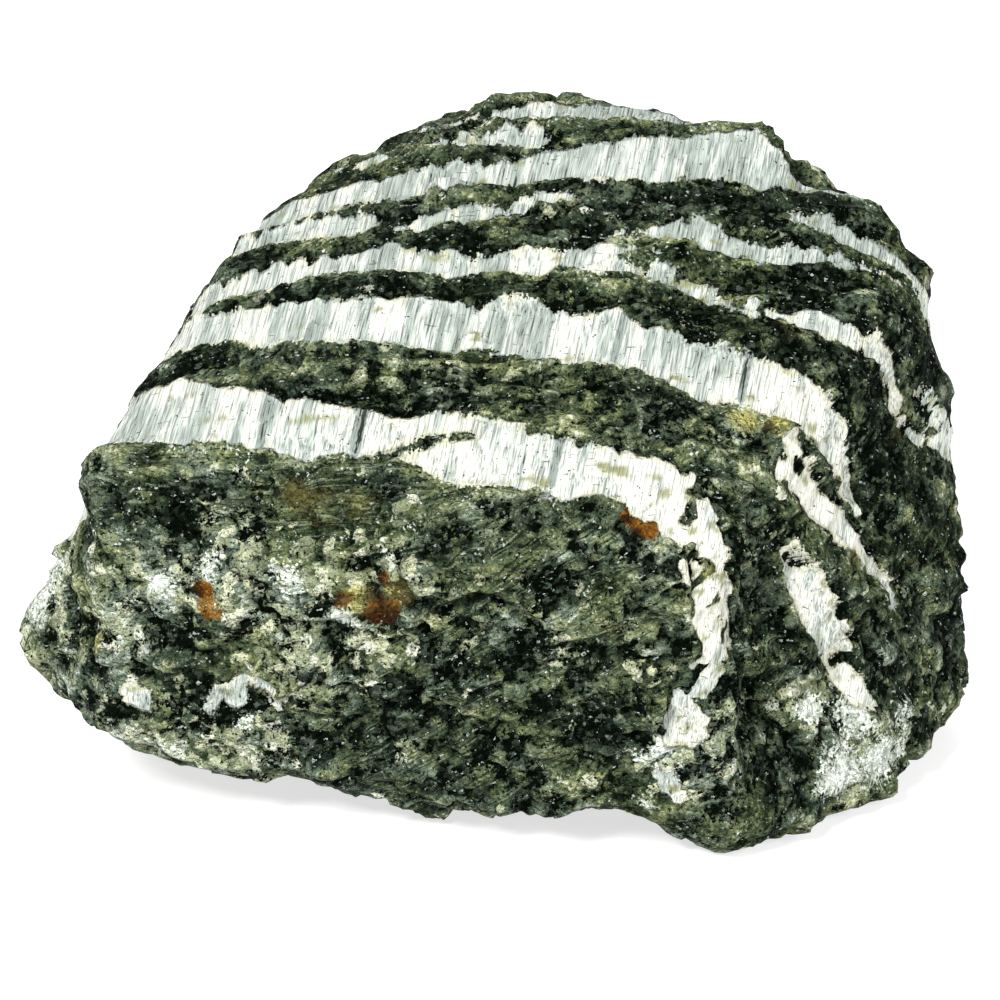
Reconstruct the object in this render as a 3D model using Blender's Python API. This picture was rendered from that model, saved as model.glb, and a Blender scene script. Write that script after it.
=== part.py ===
"""A hand-size broken lump of zebra stone, standing on a small flat spot.

Dark serpentine rock is crossed by white veins whose fibres stand across the bands. The lump is one solid:
blunt fracture faces round a heart point, swellings and hollows laid over them, then the broken relief of the
rock, with each vein sunk a little below the dark bands beside it.

Lengths are in millimetres until the mesh is made, which turns them into metres. +X is to the right of someone
facing the front, +Y is away from them and +Z is up.
"""

import bpy
import numpy as np

MM = 0.001

# Driving dimensions, in millimetres
HEART = (2.0, 0.0, 21.0)  # every point of the surface is a distance from here
EDGE_CRISPNESS = 34  # a higher power gives sharper edges between the fracture faces
GRID = 96  # squares along each side of the six patches of the sphere
TRIANGLES = 9800
FLAT_SPOT_SNAP = 0.1  # what is this close to the ground is levelled with it
VEIN_SINK = 0.6
VEIN_LIP = 0.35  # half the width of the step between rock and vein
LEDGE_SPACING = 2.6
LEDGE_HEIGHT = 0.5
SHARP_EDGE = np.radians(40)  # faces that meet at more than this keep a crisp edge between them

# Each fracture face: the way it looks (0 is the front, positive to the right), how far it looks up, both in
# degrees, and one point on it.
FACES = {
    "front": (-13, -4, (-6, -18.5, 15)),
    "front upper": (-12, 16, (-8, -18, 25)),
    "upper slope": (-9, 52, (0, -13.5, 33.7)),
    "left slope": (-42, 56, (-18, -3, 37)),
    "left side": (-101, 29, (-26.5, -8, 32)),
    "left flank": (-80, 4, (-31, -8, 20)),
    "left end": (-75, -14, (-31.5, -8, 14)),
    "left top": (-122, 55, (-7, 10, 46)),
    "crest": (-20, 80, (0, 8, 49.2)),
    "back top": (163, 48, (0, 13, 47)),
    "back": (168, 6, (0, 23, 22)),
    "left back": (-135, 14, (-20, 13, 22)),
    "right back": (128, 12, (26, 16, 20)),
    "right top": (114, 49, (28, 6, 41.8)),
    "right shoulder": (19, 50, (24, -4, 37.8)),
    "right brow": (84, 30, (33.3, 4, 31.8)),
    "right face": (49, 6, (24, -13, 15)),
    "right end": (92, 2, (34.6, 5, 20)),
    "right foot": (70, -36, (34, -3, 2.2)),
    "front foot": (-14, -62, (-7, -16, 3.2)),
    "left foot": (-50, -52, (-27, -10, 4.8)),
    "left under": (-95, -66, (-24, 0, 4)),
    "back foot": (172, -46, (0, 18, 5)),
    "under front": (-10, -80, (3, -11, 0)),
    "under right": (75, -80, (24, 0, 0)),
    "under back": (175, -76, (3, 10, 0)),
    "under left": (-85, -77, (-9, 0, 0)),
}

# Each swelling or hollow: its middle, how far it lifts the surface, and how wide it is.
SWELLINGS = {
    "left lobe": ((-31, -3, 11), 4.0, 6.0),
    "lobe gap": ((-30.5, -11.5, 14), -2.0, 3.0),
    "foot tip": ((15, -19, 2.5), 2.0, 3.2),
    "top knob": ((19, 4, 46), 1.6, 2.6),
    "top notch": ((24.5, 6.5, 44.5), -1.8, 2.8),
    "foot swell": ((27.5, -12, 4.5), 2.4, 5.0),
    "lens ridge": ((24.5, -12, 18), 1.4, 4.5),
    "foot gap": ((6.5, -18, 1.5), -2.0, 3.6),
    "side valley": ((18.6, -18, 19), -2.8, 3.6),
    "side valley foot": ((19, -19, 11), -3.0, 3.8),
    "block corner": ((-28, -11.5, 27), 0.8, 3.0),
    "block bulge": ((2, -20, 17), 1.0, 9.0),
    "brow": ((32, 3.5, 37.5), 2.4, 4.0),
    "brow step": ((27, 4, 42), 1.2, 2.8),
    "brow hollow": ((30, -3, 27), -1.2, 4.5),
}

# The way across the bands, from the front foot up to the back of the crest.
ACROSS = (0.07, 0.825, 0.56)
FIBRE_LEAN = 0.12  # how far the fibres lean to the right for each millimetre across the bands

# Each vein: stations of x, the height of its lower wall and the height of its upper wall, both across the
# bands. Where the walls meet, the vein pinches out.
VEINS = {
    "lowest": (
        (-37, 5, 12), (-23, 4.5, 10.5), (-15, 3, 7.5), (-8, 2.5, 6), (-4, 1, 5.8), (0, 0.2, 4.6),
        (7, -0.6, 3.3), (11, -2.5, 3), (14, -4.6, 2.2), (15.5, -5.5, -1.5), (16.5, -6, -6.5),
    ),
    "side lens": ((19, 0, -0.2), (20.5, -0.3, 1), (23, -1.2, 1), (25, -3, 0), (28, -4, -2.2), (30, -4, -4.2)),
    "side sliver": ((19, 4.3, 4.2), (22, 4.1, 5.9), (25, 4.4, 6), (28, 4.2, 5), (30, 4.2, 4)),
    "second": (
        (-37, 14, 17), (-20, 13.5, 16.5), (-12, 11.8, 15.7), (-4, 11, 15.3), (8, 10.3, 15),
        (14, 9, 13.5), (21, 8, 12.6), (25, 7.5, 10.5), (26.5, 7, 6.8),
    ),
    "third": (
        (-37, 16, 17.5), (-18, 17.8, 20), (-13, 18.3, 20), (-7, 18, 20.3), (-3, 17.8, 19),
        (3, 18, 19.6), (7, 19, 20.3), (10, 20, 20.3), (12, 20.3, 20),
    ),
    "thin": (
        (4, 18.1, 18), (7, 18.4, 19), (12, 18.2, 19), (17, 17.3, 17.9), (23, 16.5, 17.8),
        (28, 15.5, 17.4), (30, 13.2, 14.2), (40, 13, 14),
    ),
    "fourth": (
        (8, 21.4, 21.3), (11, 21.2, 22.4), (14, 21.7, 23.8), (19, 21.3, 22.9), (24, 22.3, 23),
        (40, 22.4, 23),
    ),
    "brow": (
        (21, 25.4, 25.2), (23, 25.1, 26.4), (26, 24, 25.4), (30, 23.6, 24.8), (32, 22.2, 23),
        (40, 22, 23),
    ),
    "left strand": ((-37, 22, 24), (-16, 22.4, 24), (-11, 21.6, 24), (-8, 23, 22.8)),
    "middle strand": (
        (-8, 21.6, 21.5), (-6, 21.5, 22.7), (-1, 22.6, 23.8), (4, 23.9, 24.7), (5.5, 24.6, 24.5),
    ),
    "wide": (
        (-37, 24.5, 26), (-7, 24.6, 27), (0, 25.3, 27.6), (5, 26.2, 29.2), (11, 26.4, 30.3),
        (16, 27.8, 32), (19, 27.1, 32.4), (22, 28.8, 30.3), (40, 29, 31),
    ),
    "upper": ((-37, 28.6, 29.8), (-6, 29.1, 29.7), (0, 29.3, 30.8), (3, 29.5, 30.8), (4.5, 30, 29.9)),
    "crest": ((-37, 32, 33), (-2, 32, 33.2), (9, 32.1, 34), (15, 33.2, 34), (40, 33.5, 34.5)),
}

# White remnants of veins that were broken through: points along each, and half its width.
STREAKS = {
    "corner streak": (
        ((14.3, -22, 25), 1.2), ((14.4, -22.5, 21.5), 0.9), ((15, -22.5, 18), 0.6),
        ((15.2, -22.8, 14.6), 1.1),
    ),
    "corner patch": (((13, -23, 12.6), 1.0), ((12.5, -23, 11.3), 1.4)),
    "foot patch": (((12.2, -21.5, 6.8), 0.9), ((12.8, -21.5, 5.6), 0.8)),
    "left scrap": (((-26.8, -13.5, 10.2), 1.1), ((-25.6, -13.5, 9.8), 1.1)),
    "front scrap": (((-22.4, -14.4, 10), 1.1), ((-19.5, -14.7, 10.2), 0.9), ((-16.6, -15.5, 10.4), 1.2)),
    "side branch": (((21.5, -14.5, 30), 0.5), ((20.3, -15.2, 28.6), 0.35), ((21, -15, 27.6), 0.4)),
    "edge bundle": (((33, -1, 28.2), 0.5), ((33.4, -0.5, 25.4), 0.6)),
}


def unit(vector):
    vector = np.asarray(vector, float)
    return vector / np.linalg.norm(vector)


def looking(turn, rise):
    """The unit vector that looks this many degrees round from the front and up."""
    turn, rise = np.radians((turn, rise))
    return np.array((np.sin(turn) * np.cos(rise), -np.cos(turn) * np.cos(rise), np.sin(rise)))


across = unit(ACROSS)
along = unit(np.cross(across, (0, 0, 1)))  # level, along the bands, roughly +X
dip = np.cross(along, across)


def sphere_grid(squares):
    """Directions over a ball, as a cube whose six sides are blown up, and the squares between them."""
    steps = np.tan(np.linspace(-1, 1, squares + 1) * np.pi / 4)
    a, b = (side.ravel() for side in np.meshgrid(steps, steps, indexing="ij"))
    one = np.ones_like(a)
    sides = ((one, a, b), (-one, b, a), (b, one, a), (a, -one, b), (a, b, one), (b, a, -one))
    points = np.concatenate([np.stack(side, 1) for side in sides])
    points /= np.linalg.norm(points, axis=1, keepdims=True)
    first = np.arange(squares * (squares + 1)).reshape(squares, squares + 1)[:, :squares].ravel()
    square = np.stack((first, first + squares + 1, first + squares + 2, first + 1), 1)
    faces = np.concatenate([square + side * (squares + 1) ** 2 for side in range(6)])
    _, kept, place = np.unique(np.round(points, 7), axis=0, return_index=True, return_inverse=True)
    return points[kept], place.ravel()[faces]


def blunt_lump(directions):
    """The distance to the nearest fracture face in each direction, with the edges between faces rounded."""
    looks = np.array([looking(turn, rise) for turn, rise, _ in FACES.values()])
    places = np.array([point for _, _, point in FACES.values()], float)
    gaps = ((places - HEART) * looks).sum(axis=1)
    closeness = np.maximum(directions @ looks.T / gaps, 0)
    return (closeness**EDGE_CRISPNESS).sum(axis=1) ** (-1 / EDGE_CRISPNESS)


def swelling(points):
    """The sum of the swellings, each a bell that falls away with the distance from its middle."""
    height = np.zeros(len(points))
    for middle, lift, width in SWELLINGS.values():
        height += lift * np.exp(-((points - middle) ** 2).sum(axis=1) / width**2)
    return height


def scatter(cells, seed):
    """A fixed random number from 0 to 1 for each whole-numbered cell."""
    mixed = np.full(len(cells), seed * 7919 + 17, np.uint32)
    for axis, prime in enumerate((2376512323, 3625334849, 3407524639)):
        mixed = (mixed ^ cells[:, axis].astype(np.uint32)) * np.uint32(prime)
        mixed ^= mixed >> np.uint32(15)
    return mixed / 2.0**32


def ripples(points, cell, seed):
    """Smooth noise from -1 to 1: random heights at the corners of cells this wide, blended between them."""
    place = np.asarray(points) / cell
    corner = np.floor(place).astype(np.int64)
    part = place - corner
    part = part * part * (3 - 2 * part)
    height = np.zeros(len(place))
    for step in np.ndindex(2, 2, 2):
        share = np.where(step, part, 1 - part).prod(axis=1)
        height += share * scatter(corner + step, seed)
    return 2 * height - 1


def chips(points, cell, seed, crispness=30):
    """Broken facets: one tilted plane for each seed point, blended where two of them are as near."""
    place = np.asarray(points) / cell
    corner = np.floor(place).astype(np.int64)
    heights = np.zeros(len(place))
    shares = np.zeros(len(place))
    for step in np.ndindex(3, 3, 3):
        near = corner + step - 1
        middle = near + np.stack([scatter(near, seed + axis) for axis in range(3)], 1)
        tilt = 2 * np.stack([scatter(near, seed + 3 + axis) for axis in range(3)], 1) - 1
        reach = place - middle
        share = np.exp(-crispness * (reach**2).sum(axis=1))
        heights += share * ((tilt * reach).sum(axis=1) + 0.6 * scatter(near, seed + 6) - 0.3)
        shares += share
    return heights / shares


def ramp(value, start, end):
    part = np.clip((value - start) / (end - start), 0, 1)
    return part * part * (3 - 2 * part)


def tube_depth(points, start, end, wide, narrow):
    """How far inside a tapering tube each point is, in mm, with a ragged edge."""
    line = np.subtract(end, start)
    part = np.clip((points - start) @ line / (line @ line), 0, 1)
    gap = np.linalg.norm(points - start - part[:, None] * line, axis=1)
    return wide + (narrow - wide) * part + 0.3 * ripples(points, 1.6, 12) - gap


def vein_depth(points):
    """How far inside a vein each point is, in mm across the bands, negative in the dark rock."""
    level = points @ across + 0.35 * ripples(points, 3.5, 11)
    depth = np.full(len(points), -9.0)
    for stations in VEINS.values():
        x, low, high = np.array(stations, float).T
        floor = np.interp(points[:, 0], x, low, left=0, right=0)
        roof = np.interp(points[:, 0], x, high, left=-1, right=-1)
        depth = np.maximum(depth, np.minimum(level - floor, roof - level))
    for chain in STREAKS.values():
        for (start, wide), (end, narrow) in zip(chain, chain[1:]):
            depth = np.maximum(depth, tube_depth(points, start, end, wide, narrow))
    pinch = np.maximum(ripples(points, 9, 14), 0) * ramp(points[:, 1], 4, 14)
    return depth - 1.8 * pinch


def band_frame(points, stretch):
    """The points along the bands, down them and across them, drawn out by the three stretches."""
    height = points @ across
    lean = points @ along - FIBRE_LEAN * height
    return np.stack((lean, points @ dip, height), 1) / stretch


def ledges(points):
    """Thin steps along the bands: each rises slowly across the bands and breaks off short."""
    level = (points @ across + 1.2 * ripples(points, 5, 13)) / LEDGE_SPACING
    part = level - np.floor(level)
    return LEDGE_HEIGHT * (np.minimum(part, (1 - part) * 5) - 0.5)


def relief(points):
    """How far the broken surface stands out of the blunt lump, in mm."""
    splinters = band_frame(points, (1.5, 1, 1))
    fibres = band_frame(points, (1, 1, 8))
    vein = ramp(vein_depth(points), -VEIN_LIP, VEIN_LIP)
    swell = 0.6 * ripples(points, 9, 1)
    rock = 0.5 * ripples(splinters, 4.2, 2) + 1.3 * chips(splinters, 6, 20) + 0.7 * chips(splinters, 3, 40)
    rock += ledges(points)
    silk = 0.35 * chips(fibres, 2.2, 80) - VEIN_SINK
    return swell + rock * (1 - vein) + silk * vein


def stone_points(directions):
    points = HEART + directions * blunt_lump(directions)[:, None]
    points += directions * swelling(points)[:, None]
    points += directions * relief(points)[:, None]
    reach = np.linalg.norm(points - HEART, axis=1)
    ground = HEART[2] / np.maximum(-directions[:, 2], 1e-6)
    return HEART + directions * np.minimum(reach, ground)[:, None]


def clear_scene():
    for obj in list(bpy.data.objects):
        bpy.data.objects.remove(obj)


def make_material(name, colour, roughness):
    material = bpy.data.materials.new(name)
    material.use_nodes = True
    shader = material.node_tree.nodes["Principled BSDF"]
    shader.inputs["Base Color"].default_value = (*colour, 1)
    shader.inputs["Roughness"].default_value = roughness
    shader.inputs["Metallic"].default_value = 0
    return material


def thinned(points, faces, triangles):
    """The mesh with its flatter stretches merged, down to this many triangles."""
    mesh = bpy.data.meshes.new("fine stone")
    mesh.from_pydata(points * MM, [], faces)
    fine = bpy.data.objects.new("fine stone", mesh)
    bpy.context.scene.collection.objects.link(fine)
    merge = fine.modifiers.new("merge flats", "DECIMATE")
    merge.ratio = triangles / (2 * len(faces))
    graph = bpy.context.evaluated_depsgraph_get()
    result = bpy.data.meshes.new_from_object(fine.evaluated_get(graph))
    bpy.data.objects.remove(fine)
    bpy.data.meshes.remove(mesh)
    return result


def stand_up(mesh):
    """Levels the flat spot, then centres the stone's box over the origin. Gives how far the stone moved."""
    corners = np.empty(len(mesh.vertices) * 3, np.float32)
    mesh.vertices.foreach_get("co", corners)
    corners = corners.reshape(-1, 3)
    corners[corners[:, 2] < FLAT_SPOT_SNAP * MM, 2] = 0
    middle = (corners.min(axis=0) + corners.max(axis=0)) / 2
    shift = np.array((-middle[0], -middle[1], 0))
    mesh.vertices.foreach_set("co", (corners + shift).astype(np.float32).ravel())
    mesh.update()
    return shift / MM


def paint_veins(mesh, shift):
    """Gives the second material to the faces whose middle lies in a vein."""
    middles = np.empty(len(mesh.polygons) * 3, np.float32)
    mesh.polygons.foreach_get("center", middles)
    middles = middles.reshape(-1, 3) / MM - shift
    mesh.polygons.foreach_set("material_index", (vein_depth(middles) > 0).astype(np.int32))


def make_stone():
    directions, faces = sphere_grid(GRID)
    mesh = thinned(stone_points(directions), faces, TRIANGLES)
    mesh.name = "zebra_stone"
    shift = stand_up(mesh)
    mesh.materials.append(make_material("dark serpentine", (0.045, 0.06, 0.04), 0.55))
    mesh.materials.append(make_material("white fibre vein", (0.78, 0.78, 0.68), 0.45))
    paint_veins(mesh, shift)
    mesh.shade_smooth()
    mesh.set_sharp_from_angle(angle=SHARP_EDGE)
    stone = bpy.data.objects.new("zebra_stone", mesh)
    bpy.context.scene.collection.objects.link(stone)
    size = np.array(stone.dimensions) / MM
    print("zebra_stone:", size.round(1), "mm,", len(mesh.polygons), "faces, moved", shift.round(2), "mm")


clear_scene()
make_stone()
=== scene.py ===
# %% [markdown]
# # A lump of zebra stone
# This lesson dresses one broken lump of banded rock. On the real stone, dark green to black serpentine is
# crossed by cream-white veins, and in each vein thousands of silky fibres stand straight across the band.
# The solid part already has the lump's form. Here the same form is worked out again on a much finer grid,
# and it gets the fibres, grains, rust and cracks that make the stone look like itself.

import bpy
import numpy as np
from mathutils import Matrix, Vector


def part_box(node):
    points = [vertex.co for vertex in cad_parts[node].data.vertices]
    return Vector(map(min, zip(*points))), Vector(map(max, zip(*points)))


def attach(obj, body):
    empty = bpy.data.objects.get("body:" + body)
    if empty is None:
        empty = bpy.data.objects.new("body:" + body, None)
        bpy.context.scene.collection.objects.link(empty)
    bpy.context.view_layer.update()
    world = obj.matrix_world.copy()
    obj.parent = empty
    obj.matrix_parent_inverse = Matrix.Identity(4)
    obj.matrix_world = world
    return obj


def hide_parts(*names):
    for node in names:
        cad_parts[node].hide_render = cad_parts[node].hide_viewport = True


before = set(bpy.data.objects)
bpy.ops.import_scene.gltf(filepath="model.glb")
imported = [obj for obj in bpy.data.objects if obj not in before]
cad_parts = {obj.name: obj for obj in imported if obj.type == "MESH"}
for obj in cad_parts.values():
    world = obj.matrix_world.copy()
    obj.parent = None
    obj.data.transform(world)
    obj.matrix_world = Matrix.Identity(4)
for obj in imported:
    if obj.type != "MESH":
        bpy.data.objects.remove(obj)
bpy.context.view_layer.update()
MM = 0.001
low, high = (np.array(corner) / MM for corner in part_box("zebra_stone"))
print("the solid stone is", (high - low).round(1), "mm")

# %% [markdown]
# ## The form of the lump
# A broken rock is bounded by fracture faces. One could sculpt it, or cut a block with planes. Here every
# direction from a heart point gets the distance to its nearest fracture face, and a smooth minimum rounds
# the edges between faces a little, as weather and handling do. The same named values shape the solid part,
# so that the dressed stone lies on it. Lengths are in millimetres until a mesh is made.

# %% The fracture faces
HEART = (2.0, 0.0, 21.0)  # every point of the surface is a distance from here
EDGE_CRISPNESS = 34  # the power n; a higher one gives sharper edges between the fracture faces

# the way each face looks (0 is the front, positive to the right), how far it looks up, and one point on it
FACES = {
    "front": (-13, -4, (-6, -18.5, 15)),
    "front upper": (-12, 16, (-8, -18, 25)),
    "upper slope": (-9, 52, (0, -13.5, 33.7)),
    "left slope": (-42, 56, (-18, -3, 37)),
    "left side": (-101, 29, (-26.5, -8, 32)),
    "left flank": (-80, 4, (-31, -8, 20)),
    "left end": (-75, -14, (-31.5, -8, 14)),
    "left top": (-122, 55, (-7, 10, 46)),
    "crest": (-20, 80, (0, 8, 49.2)),
    "back top": (163, 48, (0, 13, 47)),
    "back": (168, 6, (0, 23, 22)),
    "left back": (-135, 14, (-20, 13, 22)),
    "right back": (128, 12, (26, 16, 20)),
    "right top": (114, 49, (28, 6, 41.8)),
    "right shoulder": (19, 50, (24, -4, 37.8)),
    "right brow": (84, 30, (33.3, 4, 31.8)),
    "right face": (49, 6, (24, -13, 15)),
    "right end": (92, 2, (34.6, 5, 20)),
    "right foot": (70, -36, (34, -3, 2.2)),
    "front foot": (-14, -62, (-7, -16, 3.2)),
    "left foot": (-50, -52, (-27, -10, 4.8)),
    "left under": (-95, -66, (-24, 0, 4)),
    "back foot": (172, -46, (0, 18, 5)),
    "under front": (-10, -80, (3, -11, 0)),
    "under right": (75, -80, (24, 0, 0)),
    "under back": (175, -76, (3, 10, 0)),
    "under left": (-85, -77, (-9, 0, 0)),
}


def unit(vector):
    """The vector over its own length."""
    vector = np.asarray(vector, float)
    return vector / np.linalg.norm(vector)


def looking(turn, rise):
    """The unit vector that looks this many degrees round from the front and up."""
    turn, rise = np.radians((turn, rise))
    return np.array((np.sin(turn) * np.cos(rise), -np.cos(turn) * np.cos(rise), np.sin(rise)))


def blunt_lump(directions):
    """One over the nth root of the sum, over the faces, of (cosine towards it over its gap) to the nth."""
    looks = np.array([looking(turn, rise) for turn, rise, _ in FACES.values()])
    places = np.array([point for _, _, point in FACES.values()], float)
    gaps = ((places - HEART) * looks).sum(axis=1)
    closeness = np.maximum(directions @ looks.T / gaps, 0)
    return (closeness**EDGE_CRISPNESS).sum(axis=1) ** (-1 / EDGE_CRISPNESS)


print(len(FACES), "fracture faces")

# %% [markdown]
# ## Swellings and hollows
# Where a corner broke off or a lobe stayed on, the lump leaves its flat faces. Bells of height, each with a
# middle, a lift and a width, do this with few numbers, and they blend with no seam.

# %% The swellings
SWELLINGS = {
    "left lobe": ((-31, -3, 11), 4.0, 6.0),
    "lobe gap": ((-30.5, -11.5, 14), -2.0, 3.0),
    "foot tip": ((15, -19, 2.5), 2.0, 3.2),
    "top knob": ((19, 4, 46), 1.6, 2.6),
    "top notch": ((24.5, 6.5, 44.5), -1.8, 2.8),
    "foot swell": ((27.5, -12, 4.5), 2.4, 5.0),
    "lens ridge": ((24.5, -12, 18), 1.4, 4.5),
    "foot gap": ((6.5, -18, 1.5), -2.0, 3.6),
    "side valley": ((18.6, -18, 19), -2.8, 3.6),
    "side valley foot": ((19, -19, 11), -3.0, 3.8),
    "block corner": ((-28, -11.5, 27), 0.8, 3.0),
    "block bulge": ((2, -20, 17), 1.0, 9.0),
    "brow": ((32, 3.5, 37.5), 2.4, 4.0),
    "brow step": ((27, 4, 42), 1.2, 2.8),
    "brow hollow": ((30, -3, 27), -1.2, 4.5),
}


def swelling(points):
    """The sum of bells, lift times e to the minus of the squared distance over the squared width."""
    height = np.zeros(len(points))
    for middle, lift, width in SWELLINGS.values():
        height += lift * np.exp(-((points - middle) ** 2).sum(axis=1) / width**2)
    return height


print(len(SWELLINGS), "swellings and hollows")

# %% [markdown]
# ## The bands
# The bands of the real stone are nearly flat sheets that lie one on another, so one direction, across them,
# orders the whole stone. A vein is then an interval of height across the bands, whose two walls wander with
# x. That is why the bands run level over the front, then plunge down the right face, with no unwrapping.

# %% The veins
ACROSS = (0.07, 0.825, 0.56)
FIBRE_LEAN = 0.12  # how far the fibres lean to the right for each millimetre across the bands
across = unit(ACROSS)
along = unit(np.cross(across, (0, 0, 1)))  # level, along the bands, roughly +X
dip = np.cross(along, across)

# stations of x, the height of the lower wall and the height of the upper wall; where they cross, it ends
VEINS = {
    "lowest": (
        (-37, 5, 12), (-23, 4.5, 10.5), (-15, 3, 7.5), (-8, 2.5, 6), (-4, 1, 5.8), (0, 0.2, 4.6),
        (7, -0.6, 3.3), (11, -2.5, 3), (14, -4.6, 2.2), (15.5, -5.5, -1.5), (16.5, -6, -6.5),
    ),
    "side lens": (
        (19.9, 0.8, 0.8), (20.4, -0.1, 1.2), (21.4, -1.5, 1.2), (23.2, -2.4, 1.1), (24.3, -3, 0.7),
        (25.1, -3.4, 0.2), (25.7, -3.5, -1.3), (26.4, -3.4, -1.7), (27.2, -3, -2), (28, -2.6, -2.5),
    ),
    "side sliver": ((19, 4, 4.5), (22, 3.6, 6.7), (25, 4, 6.3), (28, 4.2, 5), (30, 4.2, 4)),
    "second": (
        (-37, 14, 17), (-20, 13.5, 16.5), (-12, 11.8, 15.7), (-4, 11, 15.3), (8, 10.3, 15),
        (14, 9, 13.5), (21, 8, 12.6), (25, 7.5, 10.5), (26.5, 7, 6.8),
    ),
    "third": (
        (-37, 16, 17.5), (-18, 17.8, 20), (-13, 18.3, 20), (-7, 18, 20.3), (-3, 17.8, 19),
        (3, 18, 19.6), (7, 19, 20.3), (10, 20, 20.3), (12, 20.3, 20),
    ),
    "thin": (
        (4, 18.1, 18), (7, 18.4, 19), (12, 18.2, 19), (17, 17.3, 17.9), (23, 16.5, 17.8),
        (28, 15.5, 17.4), (30, 14.4, 15.4), (32, 15, 16.4), (34, 15.9, 17.4), (40, 15.9, 17.2),
    ),
    "fourth": (
        (8, 21.4, 21.3), (11, 21.2, 22.4), (14, 21.7, 23.8), (19, 21.3, 22.9), (24, 22.3, 23),
        (40, 22.4, 23),
    ),
    "brow": (
        (21, 25.4, 25.2), (23, 25.1, 26.4), (26, 24, 25.4), (30, 23.6, 24.8), (32, 22.2, 23),
        (40, 22, 23),
    ),
    "left strand": ((-37, 22, 24), (-16, 22.4, 24), (-11, 21.6, 24), (-8, 23, 22.8)),
    "middle strand": (
        (-8, 21.6, 21.5), (-6, 21.5, 22.7), (-1, 22.6, 23.8), (4, 23.9, 24.7), (5.5, 24.6, 24.5),
    ),
    "wide": (
        (-37, 24.5, 26), (-7, 24.6, 27), (0, 25.3, 27.6), (5, 26.2, 29.2), (11, 26.4, 30.3),
        (16, 27.8, 32), (19, 27.1, 32.4), (22, 28.8, 30.3), (40, 29, 31),
    ),
    "upper": ((-37, 28.6, 29.8), (-6, 29.1, 29.7), (0, 29.3, 30.8), (3, 29.5, 30.8), (4.5, 30, 29.9)),
    "crest": ((-37, 32, 33), (-2, 32, 33.2), (9, 32.1, 34), (15, 33.2, 34), (40, 33.5, 34.5)),
}

# white remnants of veins that were broken through: points along each, and its radius there
STREAKS = {
    "corner streak": (
        (14, -22, 25, 1.5), (14.4, -22.2, 21.5, 1.5), (15, -22.3, 18, 1.2), (15.2, -22.4, 14.4, 1.5),
    ),
    "corner patch": ((13, -22.8, 13.2, 1.2), (12.5, -22.6, 11.3, 1.6)),
    "foot patch": ((12.2, -21.5, 6.8, 0.9), (12.8, -21.5, 5.6, 0.8)),
    "left scrap": ((-26.9, -13.5, 10.2, 1.05), (-26, -13.5, 9.8, 1.05)),
    "front scrap": ((-21.2, -14.2, 9.5, 0.6), (-20.3, -14.5, 10.5, 0.9), (-18.9, -14.9, 10.7, 0.9)),
    "scrap rim": ((-18, -15.2, 11.8, 0.3), (-16.6, -15.7, 11.8, 0.3)),
    "scrap leg": ((-16.7, -15.5, 10.4, 0.3), (-16, -15.3, 9.9, 0.4)),
    "side branch": ((21.5, -14.5, 30, 0.9), (20.3, -15.2, 28.6, 0.7), (21, -15, 27.6, 0.9)),
    "edge bundle": ((31, -1.6, 29.6, 0.5), (32.3, -0.9, 27.6, 0.9), (33.5, 0, 25.4, 1)),
}

# tongues of dark rock that reach into a vein: points along each, and its radius there
TONGUES = {
    "lowest": ((-8.2, -15.9, 29.3, 0.55), (-4.9, -15.7, 30.4, 0.5), (-2.1, -15.7, 31, 0.2)),
    "second": ((-3.8, -10.9, 35.1, 0.4), (-0.7, -10.3, 35.3, 0.35), (0.6, -10.2, 35.3, 0.1)),
    "corner": ((14, -19.2, 27.9, 0.5), (12.6, -20.3, 26.4, 0.4), (12.9, -21.5, 24.5, 0.2)),
    "side": ((25.9, -11.6, 12.8, 0.4), (24.8, -12.2, 12.7, 0.1), (24.3, -12.7, 12.2, 0.2)),
}
# where a vein has split open along its fibres, and how dark each split is
SPLITS = (
    (17.5, -10.4, 33.5, 0.9), (-9.9, -14.2, 31.1, 0.8), (-16.8, -13.4, 30.7, 0.4),
    (-18.7, -12.4, 30.7, 0.25), (-4.3, -8.9, 36.3, 0.3), (0, -9.6, 35.9, 0.3), (3.9, -18.2, 30, 0.5),
    (8.5, -9, 35, 0.5), (-14, -9, 36, 0.4),
)
print(len(VEINS), "veins,", len(STREAKS), "remnants,", len(TONGUES), "tongues and", len(SPLITS), "splits")

# %% [markdown]
# ## Chance without chance
# A rock needs thousands of small accidents, and the same ones each time. A whole-number hash gives every
# cell of space its own fixed random number. Blended between cells it gives soft ripples, and as one tilted
# plane around each seed point it gives the flat chips and crisp ridges of a broken face.


# %% Ripples and chips
def scatter(cells, seed):
    """A fixed random number from 0 to 1 for each whole-numbered cell: its bits are multiplied and folded."""
    mixed = np.full(len(cells), seed * 7919 + 17, np.uint32)
    for axis, prime in enumerate((2376512323, 3625334849, 3407524639)):
        mixed = (mixed ^ cells[:, axis].astype(np.uint32)) * np.uint32(prime)
        mixed ^= mixed >> np.uint32(15)
    return mixed / 2.0**32


def ripples(points, cell, seed):
    """Value noise from -1 to 1: random heights at cell corners, blended by 3t^2 - 2t^3 along each axis."""
    place = np.asarray(points) / cell
    corner = np.floor(place).astype(np.int64)
    part = place - corner
    part = part * part * (3 - 2 * part)
    height = np.zeros(len(place))
    for step in np.ndindex(2, 2, 2):
        share = np.where(step, part, 1 - part).prod(axis=1)
        height += share * scatter(corner + step, seed)
    return 2 * height - 1


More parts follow.
